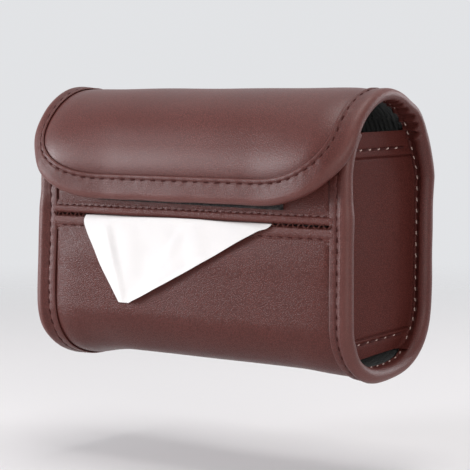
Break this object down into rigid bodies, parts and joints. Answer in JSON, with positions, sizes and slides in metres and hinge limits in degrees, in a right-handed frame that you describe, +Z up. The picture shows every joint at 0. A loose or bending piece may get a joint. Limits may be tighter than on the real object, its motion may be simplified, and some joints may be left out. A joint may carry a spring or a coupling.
{
  "type": "car tissue holder",
  "caption": "Leather pouch that hangs by straps in a car, with rounded ends, a fold-over flap and a front slot that feeds tissues.",
  "frame": {"origin": "on the outer leather of the back, midway between the two hanging straps, at half the pouch's height", "axes": "+Z up, +X to the right seen from the front, the slot and the flap's edge face -Y, the straps face +Y"},
  "size_m": [0.216, 0.1041, 0.155],
  "materials": {
    "outer_leather": "red-brown grained leather, satin",
    "edge_leather": "red-brown smooth leather strip, folded and stitched",
    "board": "bendable stiffening board",
    "lining": "black ribbed cloth",
    "closure": "black hook and loop tape",
    "pack_film": "thin white film",
    "tissue": "soft white tissue",
    "snap_metal": "nickel-plated press fastener"
  },
  "bodies": {
    "pouch": {"outer_wrap": "outer_leather", "wrap_stiffener": "board", "wrap_lining": "lining", "upper_front_panel": "outer_leather", "upper_front_stiffener": "board", "upper_front_lining": "lining", "gusset_left": "outer_leather", "gusset_right": "outer_leather", "gusset_lining_left": "lining", "gusset_lining_right": "lining", "pouch_binding_left": "edge_leather", "pouch_binding_right": "edge_leather", "mouth_binding": "edge_leather", "upper_slot_binding": "edge_leather", "lower_slot_binding": "edge_leather", "closure_loop_strip": "closure", "tissue_pack": "pack_film", "tissue_sheet": "tissue", "strap_anchor_left": "edge_leather", "strap_anchor_right": "edge_leather", "snap_post_left": "snap_metal", "snap_post_right": "snap_metal", "snap_stud_left": "snap_metal", "snap_stud_right": "snap_metal"},
    "flap": {"flap_cover": "outer_leather", "flap_stiffener": "board", "flap_lining": "lining", "flap_binding": "edge_leather", "closure_hook_strip": "closure"},
    "strap_left": {"strap_left": "edge_leather", "snap_socket_left": "snap_metal", "snap_cap_left": "snap_metal"},
    "strap_right": {"strap_right": "edge_leather", "snap_socket_right": "snap_metal", "snap_cap_right": "snap_metal"}
  },
  "joints": [
    {"name": "flap_hinge", "type": "hinge", "parent": "pouch", "child": "flap", "pos_m": [0, -0.00886, 0.058], "axis": [-1, 0, 0], "range_deg": [0, 120]},
    {"name": "strap_left_fold", "type": "hinge", "parent": "pouch", "child": "strap_left", "pos_m": [-0.055, 0.0015, 0.027], "axis": [1, 0, 0], "range_deg": [0, 120]},
    {"name": "strap_right_fold", "type": "hinge", "parent": "pouch", "child": "strap_right", "pos_m": [0.055, 0.0015, 0.027], "axis": [1, 0, 0], "range_deg": [0, 120]}
  ]
}
